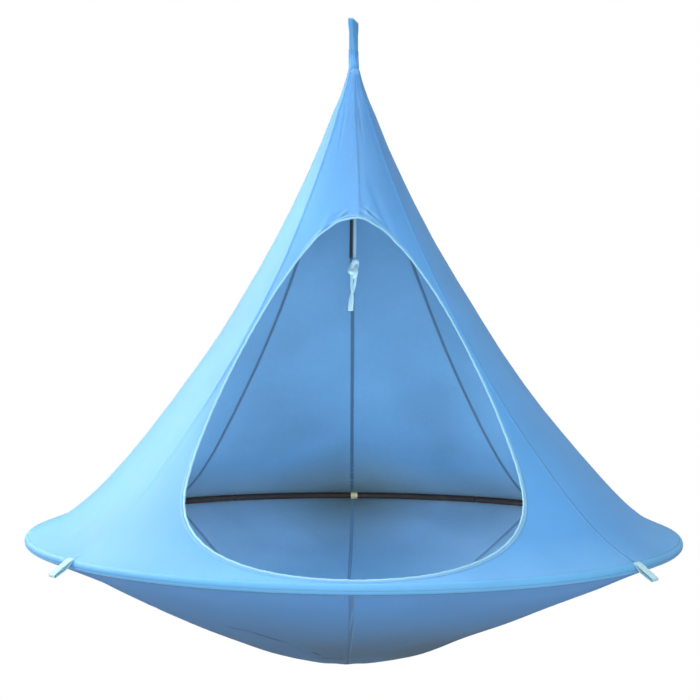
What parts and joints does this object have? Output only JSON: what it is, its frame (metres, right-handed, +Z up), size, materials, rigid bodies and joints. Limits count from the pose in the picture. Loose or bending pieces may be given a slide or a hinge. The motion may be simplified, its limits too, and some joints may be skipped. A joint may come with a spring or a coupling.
{
  "type": "hanging tent",
  "caption": "Round hanging tent: a conical fabric canopy with an egg-shaped door and a shallow bowl floor on a tube ring, hung by a webbing strap.",
  "frame": {"origin": "the point inside the strap's eye where a hook bears, at the top of the tent", "axes": "+Z up along the strap, -Y out of the door, +X to the right of a viewer who looks at the door"},
  "size_m": [1.8266, 1.8266, 1.869],
  "materials": {
    "canopy_fabric": "sky-blue plain-weave polyester-cotton, matt",
    "floor_fabric": "the same blue cloth, heavier and seen in shade, matt",
    "band_fabric": "blue cloth folded round the ring, matt, with a seam on each edge",
    "piping": "pale cyan bias piping",
    "webbing": "blue woven webbing",
    "cord": "pale blue cotton tape",
    "tape": "cream cotton tape",
    "ring_tube": "black-brown satin paint",
    "spigot": "plain drawn steel tube"
  },
  "bodies": {
    "strap": {"hanging_strap": "webbing"},
    "neck": {"neck_bundle": "canopy_fabric"},
    "tent": {"canopy_gore_back_left": "canopy_fabric", "canopy_gore_back_right": "canopy_fabric", "canopy_gore_front_left": "canopy_fabric", "canopy_gore_front_right": "canopy_fabric", "canopy_gore_left_back": "canopy_fabric", "canopy_gore_left_front": "canopy_fabric", "canopy_gore_right_back": "canopy_fabric", "canopy_gore_right_front": "canopy_fabric", "door_piping": "piping", "floor_gore_back_left": "floor_fabric", "floor_gore_back_right": "floor_fabric", "floor_gore_front_left": "floor_fabric", "floor_gore_front_right": "floor_fabric", "floor_gore_left_back": "floor_fabric", "floor_gore_left_front": "floor_fabric", "floor_gore_right_back": "floor_fabric", "floor_gore_right_front": "floor_fabric", "floor_patch": "floor_fabric", "rim_band": "band_fabric", "ring_spigot_back_left": "spigot", "ring_spigot_back_right": "spigot", "ring_spigot_front_left": "spigot", "ring_spigot_front_right": "spigot", "ring_spigot_left": "spigot", "ring_spigot_right": "spigot", "ring_tie_back": "tape", "ring_tie_back_left": "tape", "ring_tie_back_right": "tape", "ring_tie_front": "tape", "ring_tie_front_left": "tape", "ring_tie_front_right": "tape", "ring_tie_left": "tape", "ring_tie_right": "tape", "ring_tube_back": "ring_tube", "ring_tube_back_left": "ring_tube", "ring_tube_back_right": "ring_tube", "ring_tube_front": "ring_tube", "ring_tube_front_left": "ring_tube", "ring_tube_front_right": "ring_tube"},
    "inner_tie": {"tie_strand_left": "cord", "tie_strand_right": "cord", "tie_knot": "cord", "tie_tail_left": "cord", "tie_tail_right": "cord"},
    "stay_loop_front_right": {"stay_loop_front_right": "webbing"},
    "stay_loop_back_right": {"stay_loop_back_right": "webbing"},
    "stay_loop_back_left": {"stay_loop_back_left": "webbing"},
    "stay_loop_front_left": {"stay_loop_front_left": "webbing"}
  },
  "joints": [
    {"name": "swing_sideways", "type": "hinge", "parent": "strap", "child": "neck", "pos_m": [0, 0, -0.1545], "axis": [0, 1, 0], "range_deg": [-20, 20]},
    {"name": "swing_fore_aft", "type": "hinge", "parent": "neck", "child": "tent", "pos_m": [0, 0, -0.1545], "axis": [1, 0, 0], "range_deg": [-25, 25]},
    {"name": "tie_swing", "type": "hinge", "parent": "tent", "child": "inner_tie", "pos_m": [0, 0, -0.1545], "axis": [1, 0, 0], "range_deg": [-15, 15]},
    {"name": "stay_loop_front_right_lift", "type": "hinge", "parent": "tent", "child": "stay_loop_front_right", "pos_m": [0.64184, -0.64184, -1.49516], "axis": [-0.7071, -0.7071, 0], "range_deg": [0, 150]},
    {"name": "stay_loop_back_right_lift", "type": "hinge", "parent": "tent", "child": "stay_loop_back_right", "pos_m": [0.64184, 0.64184, -1.49516], "axis": [0.7071, -0.7071, 0], "range_deg": [0, 150]},
    {"name": "stay_loop_back_left_lift", "type": "hinge", "parent": "tent", "child": "stay_loop_back_left", "pos_m": [-0.64184, 0.64184, -1.49516], "axis": [0.7071, 0.7071, 0], "range_deg": [0, 150]},
    {"name": "stay_loop_front_left_lift", "type": "hinge", "parent": "tent", "child": "stay_loop_front_left", "pos_m": [-0.64184, -0.64184, -1.49516], "axis": [-0.7071, 0.7071, 0], "range_deg": [0, 150]}
  ]
}
